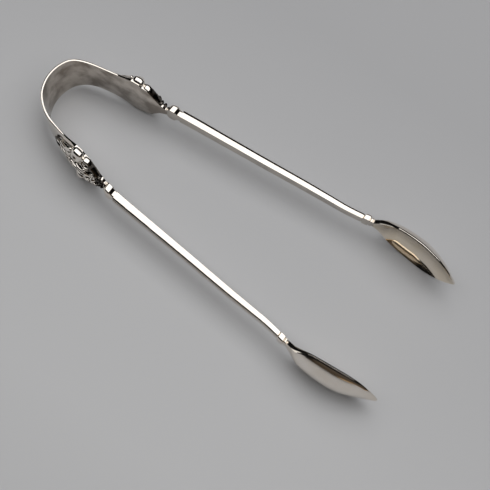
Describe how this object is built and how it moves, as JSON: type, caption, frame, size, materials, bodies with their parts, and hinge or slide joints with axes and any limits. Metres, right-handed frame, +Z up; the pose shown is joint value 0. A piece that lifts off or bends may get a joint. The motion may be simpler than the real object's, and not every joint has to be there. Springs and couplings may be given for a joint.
{
  "type": "ice tongs",
  "caption": "Sprung silver ice tongs: a wide U-shaped spring band, scrolled shoulders, slim tapered arms with collars, and pointed leaf-shaped bowls facing each other.",
  "frame": {"origin": "centre of the bounding box's base, on the surface the tongs lie on", "axes": "+X from the spring bow to the bowl tips, +Y from the right arm to the left arm, +Z up, across the width of the band"},
  "size_m": [0.1504, 0.0594, 0.0212],
  "materials": {
    "polished_silver_band": "polished silver, fine wear scratches",
    "cast_silver_relief": "cast silver relief, darkened in the recesses, bright on the high points",
    "polished_silver_arm": "polished silver",
    "polished_silver_bowl": "polished silver with a faint warm tone in the hollow"
  },
  "bodies": {
    "bow": {"spring_bow": "polished_silver_band"},
    "left_arm": {"left_shoulder_plate": "polished_silver_band", "left_scroll_ornament": "cast_silver_relief", "left_upper_collar": "polished_silver_arm", "left_shaft": "polished_silver_arm", "left_lower_collar": "polished_silver_arm", "left_bowl": "polished_silver_bowl"},
    "right_arm": {"right_shoulder_plate": "polished_silver_band", "right_scroll_ornament": "cast_silver_relief", "right_upper_collar": "polished_silver_arm", "right_shaft": "polished_silver_arm", "right_lower_collar": "polished_silver_arm", "right_bowl": "polished_silver_bowl"}
  },
  "joints": [
    {"name": "left_arm_flex", "type": "hinge", "parent": "bow", "child": "left_arm", "pos_m": [-0.06679, 0.01204, 0.0106], "axis": [0, 0, 1], "range_deg": [-9.2, 2], "stiffness_Nm_per_rad": 2.2, "deforming": ["spring_bow"]},
    {"name": "right_arm_flex", "type": "hinge", "parent": "bow", "child": "right_arm", "pos_m": [-0.06679, -0.01096, 0.0106], "axis": [0, 0, 1], "range_deg": [-2, 9.2], "stiffness_Nm_per_rad": 2.2}
  ],
  "couplings": [
    {"joint": "right_arm_flex", "follows": "left_arm_flex", "ratio": -1}
  ]
}
